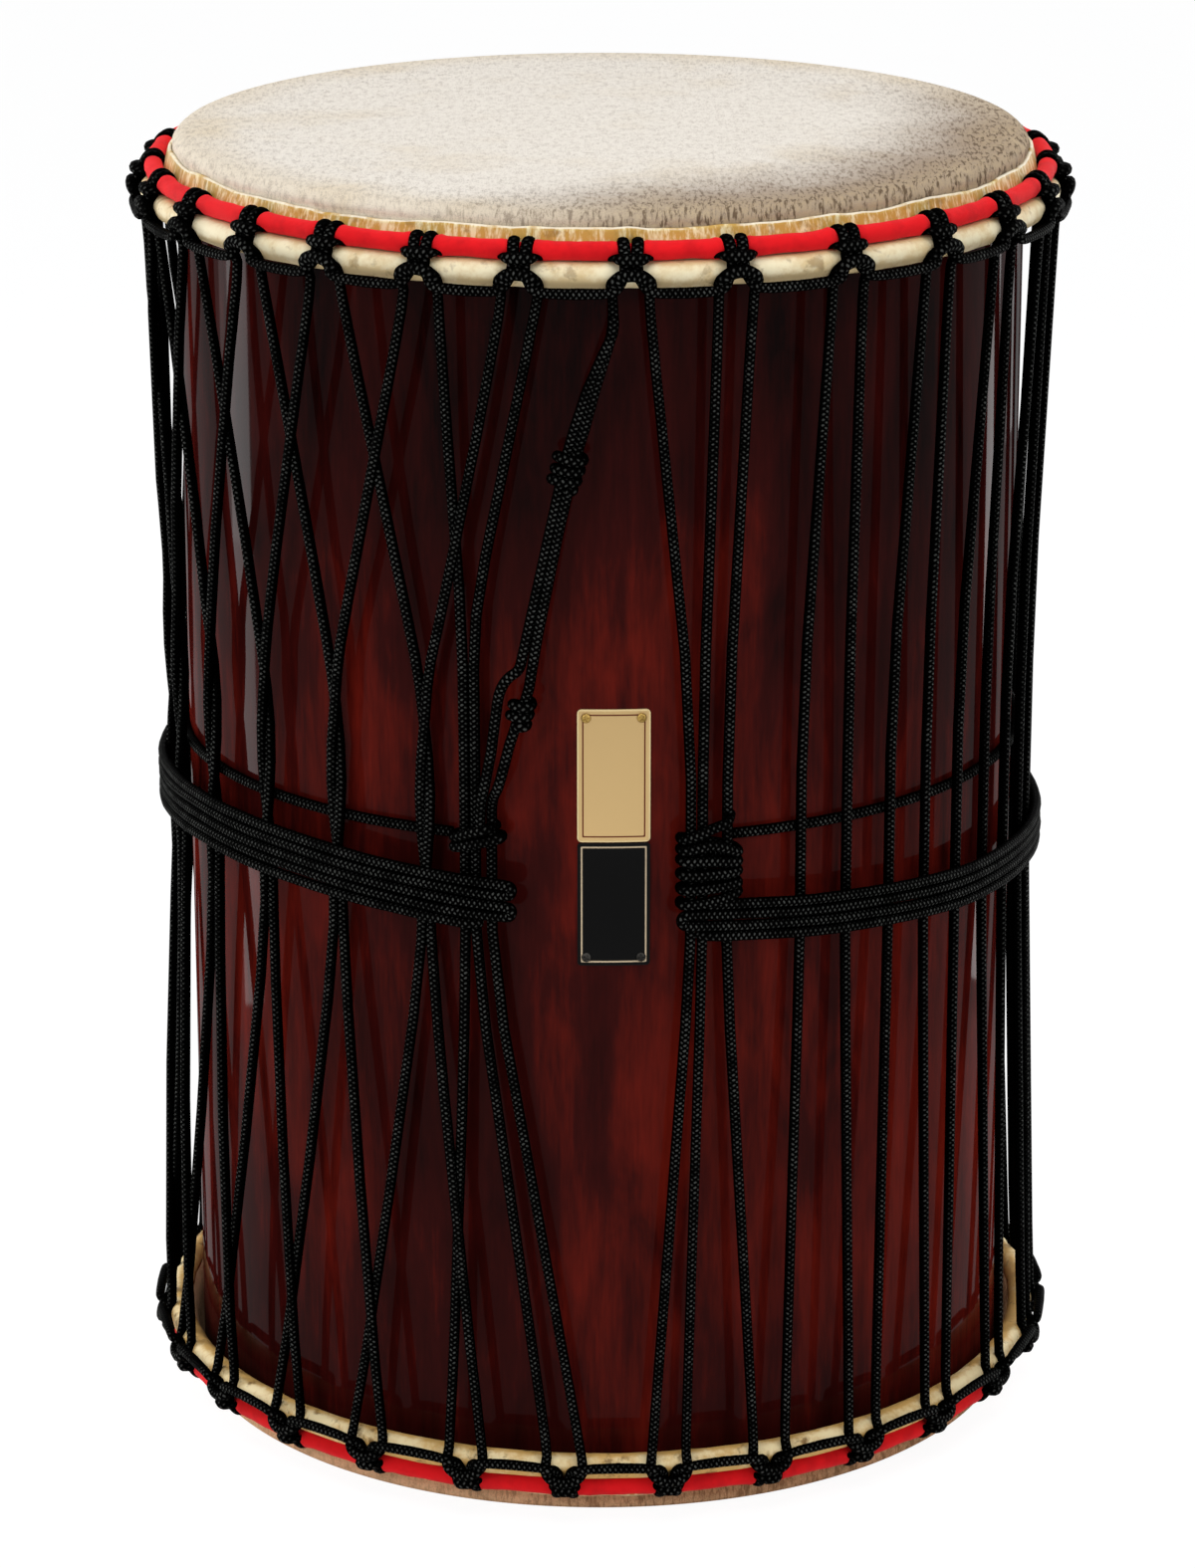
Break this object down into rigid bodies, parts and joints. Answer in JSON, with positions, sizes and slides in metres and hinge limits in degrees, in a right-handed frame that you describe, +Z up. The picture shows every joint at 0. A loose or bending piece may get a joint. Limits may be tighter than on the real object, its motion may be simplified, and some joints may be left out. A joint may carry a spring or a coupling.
{
  "type": "dunun",
  "caption": "Upright cylindrical wooden bass drum with a hide head at each end, tuned by rope laced between cloth-wrapped hoops and drawn in by a rope wrap at the waist.",
  "frame": {"origin": "middle of the lower head's face, on the plane that the drum stands on", "axes": "+Z up along the drum's axis, -Y towards the front with the two plates"},
  "size_m": [0.4437, 0.4442, 0.612],
  "materials": {
    "lacquered_wood": "dark red-brown stain under gloss lacquer",
    "goat_hide": "raw hide, short pale hair on the head, bare on the collar and roll",
    "hoop_steel": "plain round bar",
    "red_cloth": "plain woven strip, matte",
    "black_rope": "braided, low sheen",
    "gold_plate": "satin gold, bare",
    "black_plate": "satin black with a thin gold border, bare",
    "brass_screw": "polished",
    "black_screw": "satin black"
  },
  "bodies": {
    "drum_shell": {"shell": "lacquered_wood", "head_skin_top": "goat_hide", "head_skin_bottom": "goat_hide", "lacing_rope": "black_rope", "tail_rope": "black_rope", "waist_knot_left": "black_rope", "waist_knot_right": "black_rope", "waist_inner_strand": "black_rope", "waist_wrap": "black_rope", "upper_plate": "gold_plate", "upper_plate_screw_left": "brass_screw", "upper_plate_screw_right": "brass_screw", "lower_plate": "black_plate", "lower_plate_screw_left": "black_screw", "lower_plate_screw_right": "black_screw"},
    "top_hoop": {"flesh_ring_top": "hoop_steel", "crown_ring_top": "hoop_steel", "cloth_wrap_top": "red_cloth", "cradle_rope_top": "black_rope"},
    "bottom_hoop": {"flesh_ring_bottom": "hoop_steel", "crown_ring_bottom": "hoop_steel", "cloth_wrap_bottom": "red_cloth", "cradle_rope_bottom": "black_rope"}
  },
  "joints": [
    {"name": "top_hoop_slide", "type": "slide", "parent": "drum_shell", "child": "top_hoop", "axis": [0, 0, -1], "range_m": [-0.004, 0.004], "deforming": ["head_skin_top", "lacing_rope", "tail_rope"]},
    {"name": "bottom_hoop_slide", "type": "slide", "parent": "drum_shell", "child": "bottom_hoop", "axis": [0, 0, 1], "range_m": [-0.004, 0.004], "deforming": ["head_skin_bottom"]}
  ],
  "couplings": [
    {"joint": "bottom_hoop_slide", "follows": "top_hoop_slide", "ratio": 1}
  ]
}
